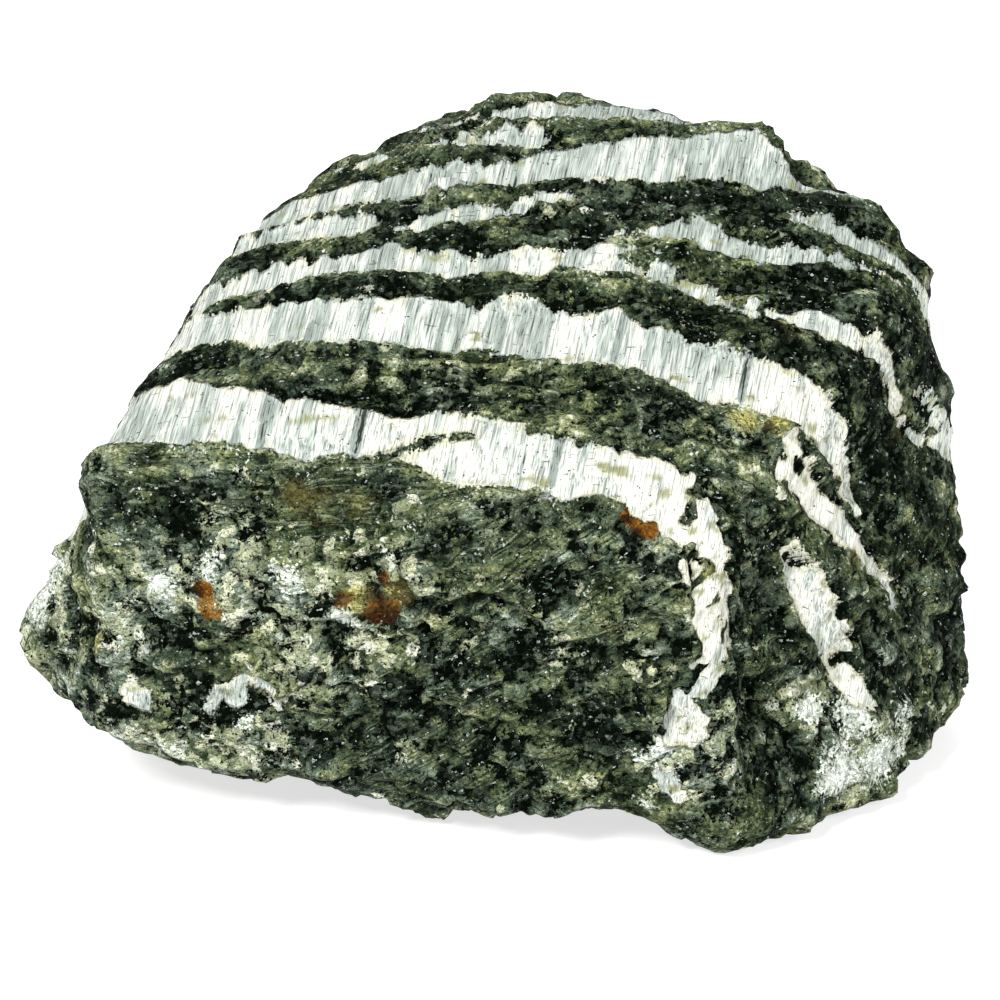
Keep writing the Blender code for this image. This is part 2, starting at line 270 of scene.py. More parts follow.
def chips(points, cell, seed, crispness=30):
    """Tilted planes round seed points; each weighs e to the minus crispness times its squared distance."""
    place = np.asarray(points) / cell
    corner = np.floor(place).astype(np.int64)
    heights = np.zeros(len(place))
    shares = np.zeros(len(place))
    for step in np.ndindex(3, 3, 3):
        near = corner + step - 1
        middle = near + np.stack([scatter(near, seed + axis) for axis in range(3)], 1)
        tilt = 2 * np.stack([scatter(near, seed + 3 + axis) for axis in range(3)], 1) - 1
        reach = place - middle
        share = np.exp(-crispness * (reach**2).sum(axis=1))
        heights += share * ((tilt * reach).sum(axis=1) + 0.6 * scatter(near, seed + 6) - 0.3)
        shares += share
    return heights / shares


def ramp(value, start, end):
    """0 before start, 1 after end, and 3t^2 - 2t^3 between."""
    part = np.clip((value - start) / (end - start), 0, 1)
    return part * part * (3 - 2 * part)


sample = ripples(np.random.default_rng(1).uniform(-30, 30, (5000, 3)), 4, 1)
print("ripples reach from", sample.min().round(2), "to", sample.max().round(2))

# %% [markdown]
# ## Inside or outside a vein
# The fibres and the dark rock part along a wandering wall. A signed depth, in millimetres across the bands,
# says how far inside a vein a point is. One number then serves the relief, the colours and the olive rim.


# %% Vein depth
FAR_OUTSIDE = -9.0  # the depth of a point with no vein near it, in millimetres


def band_level(points):
    """The height across the bands plus ripples of 0.35 mm, so that no wall of a vein is quite flat."""
    return points @ across + 0.35 * ripples(points, 3.5, 11)


def tubes(points, chains):
    """For each link of each chain, its radius plus a ragged 0.3 mm, less the distance from its line."""
    for chain in chains.values():
        for (*start, wide), (*end, narrow) in zip(chain, chain[1:]):
            line = np.subtract(end, start)
            part = np.clip((points - start) @ line / (line @ line), 0, 1)
            gap = np.linalg.norm(points - start - part[:, None] * line, axis=1)
            yield wide + (narrow - wide) * part + 0.3 * ripples(points, 1.6, 12) - gap


def vein_depth(points):
    """The largest, over the veins, of the smaller gap to a wall, less a pinch that grows to the back."""
    level = band_level(points)
    depth = np.full(len(points), FAR_OUTSIDE)
    for stations in VEINS.values():
        x, low_wall, high_wall = np.array(stations, float).T
        floor = np.interp(points[:, 0], x, low_wall, left=0, right=0)
        roof = np.interp(points[:, 0], x, high_wall, left=-1, right=-1)
        depth = np.maximum(depth, np.minimum(level - floor, roof - level))
    for inside in tubes(points, STREAKS):
        depth = np.maximum(depth, inside)
    pinch = np.maximum(ripples(points, 9, 14), 0) * ramp(points[:, 1], 4, 14)
    return depth - 1.8 * pinch


def wall_gaps(points, stations):
    """How far below a vein's lower wall and above its upper wall the points lie, plus 9 mm past its ends."""
    level = band_level(points)
    x, low_wall, high_wall = np.array(stations, float).T
    floor = np.interp(points[:, 0], x, low_wall)
    roof = np.interp(points[:, 0], x, high_wall)
    missing = np.where(roof > floor, 0, -FAR_OUTSIDE)
    return floor - level + missing, level - roof + missing


spots = np.array(((0, -16, 29), (0, -18, 20)), float)
print("depth at a spot in the lowest vein and at one in the rock below:", vein_depth(spots).round(1))

# %% [markdown]
# ## Chips, ledges and broken fibres
# The rock breaks into tilted chips and low ledges along its layers. The fibres are weaker, so a vein lies
# deeper than the rock beside it, and its bundles break off in blocks. The solid part has the ledges and the
# larger chips too, a little higher than here, because here the finer chips add to them.


# %% The relief
VEIN_SINK = 0.6  # the fibres break off this far below the dark rock beside them
VEIN_LIP = 0.35  # half the width of the step between rock and vein
LEDGE_SPACING = 2.6
LEDGE_HEIGHT = 0.5
COARSE_SHARE = 0.82  # how much of the solid part's rock relief is kept
WORN_SHARE = 0.6  # how much of all relief is gone where the stone is worn


def band_frame(points, stretch):
    """The points along the bands, down them and across them, drawn out by the three stretches."""
    height = points @ across
    lean = points @ along - FIBRE_LEAN * height
    return np.stack((lean, points @ dip, height), 1) / stretch


def ledges(points):
    """Thin steps along the bands, which rise slowly across the bands and break off five times as steeply."""
    level = (points @ across + 1.2 * ripples(points, 5, 13)) / LEDGE_SPACING
    part = level - np.floor(level)
    return LEDGE_HEIGHT * (np.minimum(part, (1 - part) * 5) - 0.5)


def fibre_blocks(points):
    """Blocks of fibres, 1.9 mm wide and 1.7 times as long, each broken off at a tilt of its own."""
    return chips(band_frame(points, (1, 1, 1.7)), 1.9, 100)


def worn_places(points):
    """1 on the far left slope, 0.8 on the right brow and 0 elsewhere, by ramps along x, y and z."""
    x, y, z = points.T
    left_slope = ramp(-x, 2, 14) * ramp(y, -14, -5) * ramp(z, 22, 30)
    return np.maximum(left_slope, 0.8 * ramp(x, 27, 32) * ramp(z, 14, 22))


def relief(points):
    """A slow swell, plus chips and ledges on rock or the sunken blocks of fibres in veins, less the wear."""
    splinters = band_frame(points, (1.5, 1, 1))
    fibres = band_frame(points, (1, 1, 8))
    vein = ramp(vein_depth(points), -VEIN_LIP, VEIN_LIP)
    swell = 0.6 * ripples(points, 9, 1)
    rock = 0.5 * ripples(splinters, 4.2, 2) + 1.3 * chips(splinters, 6, 20) + 0.7 * chips(splinters, 3, 40)
    rock += ledges(points)
    rock = COARSE_SHARE * rock + 0.5 * chips(splinters, 1.9, 60, 45) + 0.15 * chips(splinters, 0.95, 70, 45)
    silk = 0.35 * chips(fibres, 2.2, 80) - VEIN_SINK
    silk += 0.15 * chips(fibres, 0.9, 90) + 0.4 * fibre_blocks(points)
    return swell + (rock * (1 - vein) + silk * vein) * (1 - WORN_SHARE * worn_places(points))


print("relief at the two spots:", relief(spots).round(2), "mm")

# %% [markdown]
# ## One closed skin
# A ball made of latitudes has pinched poles. A cube blown up to a ball has none, its squares are all of
# about one size, and it closes by welding the cube's edges. Each of its points is then pushed out from the
# heart to the surface of the stone. The flat spot is where the ray from the heart meets the ground first.

# %% The skin's points
SQUARES = 127  # along each side of the cube's six faces


def sphere_grid(squares):
    """Unit vectors along (1, tan a, tan b) over each face of a cube, with the points of its edges welded."""
    steps = np.tan(np.linspace(-1, 1, squares + 1) * np.pi / 4)
    a, b = (side.ravel() for side in np.meshgrid(steps, steps, indexing="ij"))
    one = np.ones_like(a)
    sides = ((one, a, b), (-one, b, a), (b, one, a), (a, -one, b), (a, b, one), (b, a, -one))
    points = np.concatenate([np.stack(side, 1) for side in sides])
    points /= np.linalg.norm(points, axis=1, keepdims=True)
    first = np.arange(squares * (squares + 1)).reshape(squares, squares + 1)[:, :squares].ravel()
    square = np.stack((first, first + squares + 1, first + squares + 2, first + 1), 1)
    faces = np.concatenate([square + side * (squares + 1) ** 2 for side in range(6)])
    _, kept, place = np.unique(np.round(points, 7), axis=0, return_index=True, return_inverse=True)
    return points[kept], place.ravel()[faces]


def stone_points(directions):
    """Heart plus direction times the lump's distance, plus swelling, plus relief, cut off at the ground."""
    points = HEART + directions * blunt_lump(directions)[:, None]
    points += directions * swelling(points)[:, None]
    points += directions * relief(points)[:, None]
    reach = np.linalg.norm(points - HEART, axis=1)
    ground = HEART[2] / np.maximum(-directions[:, 2], 1e-6)
    return HEART + directions * np.minimum(reach, ground)[:, None]


SETTLE = np.array((-0.02, -0.67, 0))  # the solid was moved this far, to stand with its box over the origin
directions, squares = sphere_grid(SQUARES)
points = stone_points(directions)
print(len(points), "points, from", points.min(axis=0).round(1), "to", points.max(axis=0).round(1))

# %% [markdown]
# ## Where the stains and the pale grains are
# Rust, the pale mottled corner and the chalky coating belong to places on the stone, not to its layers.
# Each is a few spots in space with a radius. The mesh carries them as attributes from 0 to 1, and the
# material breaks their edges up with fine noise, because the mesh alone is too coarse for grains.

# %% The patches
PATCHES = {
    "rust": (
        (-21.2, -15.9, 19.3, 1.4), (-20.6, -15.9, 18, 1.4), (-8.8, -18.1, 18.6, 1.4),
        (-7.4, -18.1, 18.5, 1.4), (-8, -18, 21, 1), (9.3, -21.6, 27, 1.3), (10.4, -21.6, 26.3, 1.3),
        (-30.6, -12.5, 14, 1.3), (8, -5, 38.5, 1), (-10.9, -18, 19.4, 1.1),
    ),
    "stain": (
        (-10, -18, 19.6, 2), (-7, -18.3, 20.2, 2.2), (-14.5, -15.2, 26, 2.4), (-12.3, -15.4, 25.7, 2.6),
        (-10.2, -15.6, 25.9, 2.4), (20, -13.2, 31.4, 2.2), (17.6, -13.8, 31.2, 2.2), (21, -8, 37, 2.2),
        (31, -4, 27, 2.6), (15, -21.5, 22, 1.6), (-30, -12.5, 14, 1.8), (26, -11, 20, 2),
    ),
    "pale": (
        (-21.5, -15.7, 20.6, 4.5), (-18.5, -16.6, 21.9, 3.5), (-14.8, -17.7, 21.1, 4),
        (-11.6, -18.6, 21.1, 4), (-8, -18.1, 22.3, 3), (-5.6, -20, 20.9, 3.5), (-17.1, -16.7, 18.9, 4),
        (-26.5, -13.8, 18.9, 4), (-28.1, -13.4, 15.6, 5), (-26.2, -13, 6.4, 7), (-19.7, -14.2, 6.2, 6),
        (-14.3, -17.1, 15.2, 7), (-11, -16.7, 15.8, 5), (-34, -4, 14, 9), (13, -22.5, 9, 4),
        (26, -13, 6, 6), (18.6, -13.4, 31.2, 3.6), (10, -22.4, 16.5, 2.5), (4.5, -22, 17.5, 2.5),
        (16, -22, 10, 4), (23, -15.5, 10, 5),
    ),
    "black": (
        (-17, -15.2, 26.6, 1.6), (-22.7, -14.3, 24.5, 3), (-26.1, -14.3, 18, 2), (-24, -14.5, 16.8, 2.5),
        (-18.5, -16.4, 17, 3), (-9.1, -18.3, 19.6, 1.2), (-18.7, -14.8, 8, 3), (1.4, -14.5, 33, 4),
        (7, -14.5, 33.1, 4), (12, -14.3, 32.6, 3.4), (7.4, -21.5, 26, 2.4), (8.8, -22.7, 24.8, 2.4),
        (16.4, -21.3, 23.4, 4), (17.8, -18.9, 24.7, 4), (3.6, -21.1, 22, 3), (0.1, -19.5, 7.7, 6),
        (7, -21, 12, 5), (18, -21, 8, 5), (-13.8, -17.9, 22.1, 1.4), (-10.8, -17.2, 9.8, 4),
        (27.6, -10.9, 7.8, 1.8),
    ),
    "dull": ((-12, -16.5, 26.3, 8), (-3.4, -18.2, 28.3, 8), (-24.9, -13.3, 26.6, 5), (5, -20, 27, 5)),
    "coating": (
        (24, -14.3, 5.3, 3.5), (27.3, -10.9, 3.9, 3.5), (25.6, -12.9, 8.1, 3.4), (29, -9, 6.5, 2.6),
        (11, -23, 9.5, 2.4), (-33, -4, 15, 4), (22.5, -15, 9.5, 2), (10, -22.8, 4.6, 2.4),
        (-18.5, -14.8, 8.6, 1.7), (-21, -15.9, 21, 1.8), (-15, -16.6, 20.6, 2.4), (-24, -14, 19, 2),
        (-25, -14, 5, 2.6), (-11, -18, 17.6, 1.4), (3, -17, 3, 2.4),
    ),
    "broken": (
        (12.8, -21.3, 26, 6), (14.5, -22, 21, 6), (14.8, -22.5, 14, 5), (12.5, -22, 7, 5),
        (21, -15, 27.5, 5), (25, -12, 16, 4.5), (27, -10, 27, 5), (33, -1, 27, 4), (17, -6, 38, 5),
        (-26.5, -13.5, 10, 2.5),
    ),
    "slanted": ((-2, -19, 12, 13), (6, -20, 20, 10), (-9, -18, 8, 10)),
}


def patch(points, spots):
    """The largest, over the spots, of 1 less the distance over the radius, roughened by ripples of 2 mm."""
    strength = np.zeros(len(points))
    rough = 0.25 * ripples(points, 2, 15)
    for *spot, radius in spots:
        near = 1 - np.linalg.norm(points - spot, axis=1) / radius
        strength = np.maximum(strength, np.where(near > -0.4, near + rough, 0))
    return np.clip(strength, 0, 1)


def cloud(points, cell, seed, octaves=2):
    """Ripples plus, for each further octave, ripples half as wide and high, all over their own spread."""
    height = sum(ripples(points, cell / 2**step, seed + 100 * step) / 2**step for step in range(octaves))
    return height / height.std()


print("clouds spread by", cloud(points, 3, 1).std().round(2))

# %% [markdown]
# ## What each point of the skin is made of
# A mineral map comes before any colour. It holds one number for each point of the skin, such as how deep
# the point lies in a vein, or how much black magnetite has gathered there. The maps are worked out once,
# with arrays, so that the material only adds the finest grains. The first is the depth in a vein again, now
# with scalloped walls, tongues of rock and the gaps between the lumps of a broken vein.


# %% The depth in a vein
def vein_map(points, broken):
    """Vein depth plus scallops and fraying, at most minus the depth in a tongue, less chips where broken."""
    depth = vein_depth(points)
    depth += 0.8 * np.abs(ripples(band_frame(points, (1.7, 1.9, 6)), 1, 201)) - 0.2
    depth += 0.07 * cloud(band_frame(points, (0.5, 1.2, 4)), 1, 202) + 0.1 * cloud(points, 0.8, 203)
    for inside in tubes(points, TONGUES):
        depth = np.minimum(depth, -inside)
    return depth - broken * (0.25 + 2.2 * chips(points, 1.5, 204) + 0.35 * cloud(points, 0.7, 212, 1))


maps = {name: patch(points, spots) for name, spots in PATCHES.items()}
black, dull, broken = (maps.pop(name) for name in ("black", "dull", "broken"))
maps["vein"] = vein_map(points, broken)
print("share of the skin in a vein:", (maps["vein"] > 0).mean().round(2))

# %% [markdown]
# ## Ridges and creases: painted light and shade
# The colours paint light and shade into the relief: ridges are painted pale as a painted highlight, and the
# creases between them dark as painted shade. To tell them apart, the skin is compared with a smoothed copy
# of itself: a ridge lies above the copy and a crease below it.


# %% How far each point stands out
def gathered(values, squares, count):
    """At each point, the sum of the values of the squares that meet there."""
    return sum(np.stack([np.bincount(corner, side, count) for side in values.T], 1) for corner in squares.T)


def standing_out(points, squares, rounds):
    """The height in mm above a smoothed copy, whose points moved amid their squares in so many rounds."""
    count = len(points)
    corners = points[squares]
    tilt = np.cross(corners[:, 2] - corners[:, 0], corners[:, 3] - corners[:, 1])
    normal = gathered(tilt, squares, count)
    normal /= np.linalg.norm(normal, axis=1, keepdims=True)
    meeting = np.bincount(squares.ravel(), minlength=count)[:, None]
    smooth = points
    for _ in range(rounds):
        smooth = gathered(smooth[squares].mean(axis=1), squares, count) / meeting
    return ((points - smooth) * normal).sum(axis=1)


# crest is above 0 on a ridge and below 0 in a crease; the maps use it to paint ridges lighter and creases
# darker
crest = np.clip(standing_out(points, squares, 1) / 0.03, -1, 1)
crest += np.clip(standing_out(points, squares, 8) / 0.2, -1.5, 1.5)
print("crests:", np.percentile(crest, (5, 25, 50, 75, 95)).round(2))

# %% [markdown]
# ## The maps of the rock
# "ground" is how pale the rock is, "cool" whether it is grey-green or olive, "clump" how much magnetite has
# gathered, and "brushed" how clear the sheared lines are. In this stone the rock just under a vein is olive,
# and it is painted paler there, a painted highlight on the lit top of the ledge; black grains lie just over
# one. Higher up the bands the rock is painted darker, painted shade, and ridges get painted highlights and
# creases painted shade. Each map is a middle value plus its causes, and the numbers say how strongly each
# cause counts.

# %% Ground, cool, clump and brushed
gaps = np.array([wall_gaps(points, stations) for stations in VEINS.values()])
under, over = np.exp(-np.abs(gaps) / 0.9).max(axis=0)
black = np.maximum(black, 0.9 * over * (1 - under))
# upper grows to 1 higher up the bands, where the rock is painted darker, painted shade
upper = ramp(points @ across, 6, 11)
side = ramp(points[:, 0], 15, 22)
slanted = ramp(maps["slanted"], 0.1, 0.5)
slow = cloud(points, 3.6, 205)
olive = ramp(cloud(points, 1.6, 214), 0.7, 1.3)
cool = ramp(slow, -1.3, 0.5) * (1 - 0.8 * under) * (1 - 0.8 * olive)

blobs = cloud(band_frame(points, (3.2, 2, 1.2)), 1, 206, 3)
# 0.07 * under paints the olive rock under a vein paler, a painted highlight on the lit ledge; - 0.07 * upper
# is painted shade high on the bands
ground = 0.49 + 0.045 * blobs + 0.12 * maps["pale"] + 0.07 * under - 0.05 * dull - 0.07 * upper
# 0.03 * crest: ridges painted lighter and creases darker, painted highlight and painted shade
ground += 0.05 * olive + 0.03 * crest - 0.04 * side * (1 - upper)
ground -= 0.015 * slanted

clump = 0.77 + 0.03 * slow + 0.08 * cloud(points, 1.3, 207) + 0.03 * cloud(points, 0.7, 211, 1)
# 0.02 * upper adds black as painted shade high on the bands; - 0.1 * under keeps black off the olive ledge
# under a vein, which is painted paler as if lit
clump += 0.13 * black - 0.1 * under - 0.05 * dull - 0.04 * maps["pale"] + 0.02 * upper
# - 0.04 * crest: more black painted into creases, painted shade
clump += 0.03 * side - 0.04 * crest - 0.03 * olive

below, _ = wall_gaps(points, VEINS["lowest"])
layered = ramp(below, -0.3, 0.3) * (1 - ramp(below, 5.5, 8.5)) * (1 - ramp(points[:, 0], 6, 14))
brushed = np.maximum(0.25 + 0.75 * layered, 0.9 * slanted)
maps.update(cool=cool, ground=ground, clump=clump, brushed=brushed)
print("ground from", ground.min().round(2), "to", ground.max().round(2))

# %% [markdown]
# ## The maps of the fibres
# "bundle" is how bright a bundle of fibres is. Bundles stand in columns across the band, and blocks of them
# are painted brighter where their broken face stands higher, a painted highlight as if each caught the light
# at its own tilt. Veins high up the bands are painted greyer, painted shade, and ridges and creases get
# painted light and shade. A split is a thin dark line along the fibres. "seam" marks olive crumbs of rock,
# in rows along the bands and scattered where a vein is broken.

# %% Bundle and seam
bundles = cloud(band_frame(points, (0.75, 1.8, 7)), 1, 208)
bundle = 0.78 + 0.075 * bundles + 0.035 * cloud(points, 7, 209, 1)
# blocks of fibres painted brighter where they stand higher: painted highlight
bundle += 0.05 * fibre_blocks(points)
# 0.02 * crest is painted light on ridges and painted shade in creases; the ramp across the bands paints
# veins high up greyer, painted shade
bundle += 0.02 * crest - 0.07 * ramp(points @ across, 15, 25)
bundle += (0.12 + 0.06 * side) * ramp(points[:, 0], 10, 13) * ramp(-points[:, 1], 8, 14)
bundle = np.maximum(bundle, 0.66)
for *spot, strength in SPLITS:
    lean, down, height = np.abs(band_frame(points, 1) - band_frame(np.array([spot]), 1)).T
    line = np.exp(-((lean / 0.2) ** 2))
    bundle -= strength * line * ramp(down, 3, 1.5) * ramp(height, 2.4, 1.6)
rows = ramp(cloud(band_frame(points, (2.2, 1.5, 0.8)), 1, 210), 1.6, 2.2)
crumbs = ramp(broken, 0.05, 0.3) * ramp(cloud(points, 0.7, 213, 1), 1.1, 1.6)
maps.update(bundle=bundle, seam=np.maximum(rows, crumbs))
print("maps:", ", ".join(maps))

# %% [markdown]
# ## The skin as a mesh
# The arrays become a mesh in one go, with each map as an attribute under its own name. The skin is moved to
# where the solid stands, and kept inside the solid's box. It rides on the root, since nothing moves, and it
# takes the place of the solid's plain look.


# %% The mesh and its attributes
def mesh_piece(name, points, faces, values):
    """A mesh object at the origin, in metres, with one attribute for each named row of values."""
    mesh = bpy.data.meshes.new(name)
    mesh.vertices.add(len(points))
    mesh.vertices.foreach_set("co", (np.asarray(points) * MM).astype(np.float32).ravel())
    sides = faces.shape[1]
    mesh.loops.add(faces.size)
    mesh.loops.foreach_set("vertex_index", faces.astype(np.int32).ravel())
    mesh.polygons.add(len(faces))
    mesh.polygons.foreach_set("loop_start", np.arange(0, faces.size, sides, dtype=np.int32))
    mesh.update(calc_edges=True)
    for label, value in values.items():
        mesh.attributes.new(label, "FLOAT", "POINT").data.foreach_set("value", value.astype(np.float32))
    mesh.shade_smooth()
    piece = bpy.data.objects.new(name, mesh)
    bpy.context.scene.collection.objects.link(piece)
    return piece


skin_points = np.clip(points + SETTLE, low, high)
skin = mesh_piece("stone_skin", skin_points, squares, maps)
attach(skin, "root")
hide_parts("zebra_stone")
print(skin.name, "has", 2 * len(squares), "triangles")

# %% [markdown]
# ## Small helpers for materials
# A node group is easier to read when each node is one line. `add` makes a node, sets its options and either
# fills or links its inputs. `maths` is one step of arithmetic, and `weighted` the step used most.


# %% Node helpers
def fill(tree, socket, value):
    """Links an output to the socket, or sets the socket to a plain value."""
    if isinstance(value, bpy.types.NodeSocket):
        tree.links.new(value, socket)
    elif hasattr(socket, "default_value"):
        wants = getattr(socket.default_value, "__len__", lambda: 0)()
        socket.default_value = (*value, 1) if wants == 4 and len(value) == 3 else value


def add(tree, kind, options=None, **inputs):
    """A shader node with options set and inputs filled: From_Min is the input "From Min", in4 the fifth."""
    node = tree.nodes.new("ShaderNode" + kind)
    for option, value in (options or {}).items():
        setattr(node, option, value)
    for name, value in inputs.items():
        name = name.replace("_", " ")
        fill(tree, node.inputs[int(name[2:])] if name.startswith("in") else node.inputs[name], value)
    return node


def maths(tree, operation, first, second=0.0, third=0.0):
    """The result of one of the Math node's operations."""
    return add(tree, "Math", {"operation": operation}, in0=first, in1=second, in2=third).outputs[0]


def times(tree, first, second):
    """The product of two numbers."""
    return maths(tree, "MULTIPLY", first, second)


def weighted(tree, value, weight, base):
    """The value times the weight, plus the base."""
    return maths(tree, "MULTIPLY_ADD", value, weight, base)


def between(tree, value, start, end, smooth=True):
    """0 where the value is at start, 1 where it is at end."""
    options = {"interpolation_type": "SMOOTHSTEP" if smooth else "LINEAR"}
    return add(tree, "MapRange", options, Value=value, From_Min=start, From_Max=end).outputs[0]


def noise(tree, place, cell=1):
    """Soft noise round 0.5 with blobs of about a cell, plus one finer octave."""
    return add(tree, "TexNoise", Vector=place, Scale=1 / cell, Detail=1, Roughness=0.6).outputs["Fac"]


def blend(tree, share, first, second, kind="MIX"):
    """The first colour, going over to the second as the share goes to 1."""
    options = {"data_type": "RGBA", "blend_type": kind}
    return add(tree, "Mix", options, in0=share, in6=first, in7=second).outputs[2]


def stretched(tree, place, stretch):
    """The place drawn out along its axes, so that a round pattern becomes a streak."""
    return add(tree, "Mapping", Vector=place, Scale=[1 / side for side in stretch]).outputs[0]


def colours(tree, value, stops):
    """A colour for each value, blended between stops; each stop is a value and a colour's three parts."""
    node = add(tree, "ValToRGB", Fac=value)
    elements = node.color_ramp.elements
    while len(elements) < len(stops):
        elements.new(0.5)
    for element, (position, *colour) in zip(elements, stops):
        element.position = position
        element.color = (*colour, 1)
    return node.outputs["Color"]


def group(name, inputs, outputs):
    """A shader node group with named sockets, its input node and its output node."""
    tree = bpy.data.node_groups.new(name, "ShaderNodeTree")
    for label, kind in inputs.items():
        tree.interface.new_socket(label, in_out="INPUT", socket_type=kind)
    for label, kind in outputs.items():
        tree.interface.new_socket(label, in_out="OUTPUT", socket_type=kind)
    return tree, tree.nodes.new("NodeGroupInput").outputs, tree.nodes.new("NodeGroupOutput").inputs


def surface(name):
    """A new material, and the inputs of its shader."""
    made_of = bpy.data.materials.new(name)
    made_of.use_nodes = True
    return made_of, made_of.node_tree.nodes["Principled BSDF"].inputs


NUMBER, VECTOR, COLOUR = "NodeSocketFloat", "NodeSocketVector", "NodeSocketColor"
print("helpers ready")

# %% [markdown]
# ## Places in millimetres, and along the bands
# Every pattern needs a place to stand on. Object coordinates are in metres, so they are scaled to
# millimetres once. A second set of axes follows the bands: along them, down them and across them, leaning
# with the fibres. With it, a streak along a band or a fibre across one is a plain stretch. A third set is
# turned up to the right, for the sheared corner whose brushed lines cut the layers at a slant.

# %% The group of band axes
SLANT = (0.83, -0.12, 0.55)  # the way the brushed lines run in the sheared corner
axes, given, made = group("band axes", {}, {"Place": VECTOR, "Bands": VECTOR, "Slanted": VECTOR})
metres = add(axes, "TexCoord").outputs["Object"]
place = add(axes, "VectorMath", {"operation": "SCALE"}, Vector=metres, Scale=1 / MM).outputs[0]


def turned(tree, place, frame_axes):
    """The place measured along three axes, each by a dot product."""
    parts = {}
    for label, axis in zip("XYZ", frame_axes):
        dot = add(tree, "VectorMath", {"operation": "DOT_PRODUCT"}, in0=place, in1=tuple(axis))
        parts[label] = dot.outputs["Value"]
    return add(tree, "CombineXYZ", **parts).outputs[0]


slant = unit(SLANT)
inward = unit(np.cross(slant, (1, 0, -1)))
band_axes = (along - FIBRE_LEAN * across, dip, across)
slant_axes = (slant, inward, np.cross(slant, inward))
fill(axes, made["Place"], place)
fill(axes, made["Bands"], turned(axes, place, band_axes))
fill(axes, made["Slanted"], turned(axes, place, slant_axes))
print("band axes:", [axis.round(2).tolist() for axis in band_axes])

# %% [markdown]
# ## Fine grains
# What the mesh is too coarse to carry is left to two cell patterns and one noise: blocks of about a
# millimetre, crumbs of a third of one, and a fine grain, which the fibres use too. The noise also jostles
# the cells, so that their sides are ragged and not straight like a honeycomb's.

# %% The group of fine grains
BLOCK, CRUMB, GRAIN = 0.95, 0.36, 0.26  # sizes in millimetres
JOSTLE = (0.55, -0.4, 0.45)  # how far the fine noise pushes a cell's sides, in millimetres
grains, given, made = group(
    "fine grains", {"Place": VECTOR},
    {"Fine": NUMBER, "Block": VECTOR, "Block Rim": NUMBER, "Crumb": VECTOR, "Crumb Rim": NUMBER},
)
fine = noise(grains, given["Place"], GRAIN)
push = add(grains, "VectorMath", {"operation": "SCALE"}, in0=JOSTLE, Scale=fine).outputs[0]
shaken = add(grains, "VectorMath", {"operation": "ADD"}, in0=given["Place"], in1=push).outputs[0]
fill(grains, made["Fine"], fine)
for label, size in (("Block", BLOCK), ("Crumb", CRUMB)):
    cells = add(grains, "TexVoronoi", Vector=shaken, Scale=1 / size)
    fill(grains, made[label], cells.outputs["Color"])
    fill(grains, made[label + " Rim"], cells.outputs["Distance"])
print(len(grains.nodes), "nodes in", grains.name)

# %% [markdown]
# ## Serpentine rock: the soft ground
# Seen close, the dark rock is a soft olive and grey-green ground. It is built up as the real one is, one
# mineral laid over the last. A map gives the broad tone, the blocks and crumbs make it uneven, and another
# map blends a warm and a cool ramp of colour. Dark and pale lines follow, where the rock was sheared.

# %% The rock group and its ground
rock, given, made = group(
    "serpentine rock",
    {"Streaks": VECTOR, "Fine": NUMBER, "Block": VECTOR, "Block Rim": NUMBER, "Crumb": VECTOR,
     "Crumb Rim": NUMBER, "Ground": NUMBER, "Cool": NUMBER, "Clump": NUMBER, "Pale": NUMBER,
     "Brushed": NUMBER, "Rust": NUMBER, "Stain": NUMBER, "Coating": NUMBER},
    {"Color": COLOUR, "Roughness": NUMBER},
)
fine = given["Fine"]
block = add(rock, "SeparateXYZ", Vector=given["Block"]).outputs  # three random numbers each
crumb = add(rock, "SeparateXYZ", Vector=given["Crumb"]).outputs

ground = weighted(rock, fine, 0.3, given["Ground"])
uneven = weighted(rock, block[2], 0.7, maths(rock, "SUBTRACT", crumb[0], 0.85))
uneven = times(rock, uneven, weighted(rock, given["Brushed"], -0.09, 0.18))
ground = maths(rock, "ADD", maths(rock, "SUBTRACT", ground, 0.035), uneven)
warm = colours(rock, ground, (
    (0.44, 0.006, 0.01, 0.005), (0.54, 0.028, 0.043, 0.021), (0.63, 0.081, 0.107, 0.053),
    (0.72, 0.18, 0.205, 0.09), (0.8, 0.37, 0.39, 0.21), (0.9, 0.68, 0.7, 0.52),
))
cool = colours(rock, ground, (
    (0.44, 0.006, 0.01, 0.007), (0.54, 0.027, 0.041, 0.027), (0.63, 0.078, 0.108, 0.073),
    (0.72, 0.17, 0.21, 0.155), (0.8, 0.38, 0.44, 0.36), (0.9, 0.68, 0.75, 0.67),
))
look = blend(rock, given["Cool"], warm, cool)

# a few olive-yellow crumbs
olive = between(rock, weighted(rock, block[1], 0.5, crumb[2]), 1.22, 1.26)
look = blend(rock, times(rock, olive, 0.6), look, (0.13, 0.145, 0.05))

# brushed lines along the layers, dark and pale
brush = noise(rock, stretched(rock, given["Streaks"], (4.5, 2, 0.17)))
dark_line = times(rock, between(rock, brush, 0.44, 0.34), given["Brushed"])
look = blend(rock, times(rock, dark_line, 0.8), look, (0.007, 0.01, 0.006))
pale_line = times(rock, between(rock, brush, 0.6, 0.7), given["Brushed"])
look = blend(rock, times(rock, pale_line, 0.5), look, (0.28, 0.34, 0.24))
print(len(rock.nodes), "nodes in the ground")

# %% [markdown]
# ## Pale blocks, black grains and painted glints
# Pale blocks stand in the weathered corner. Clusters of black magnetite grains have crisp edges and a dark
# halo, because they grew at the cost of the rock around them. Among them, glints of light on thin facets
# are painted as pale slivers, painted highlights: a crumb in five or so gets one, only where the fine
# noise and the brushed noise are low, which makes it a sliver.

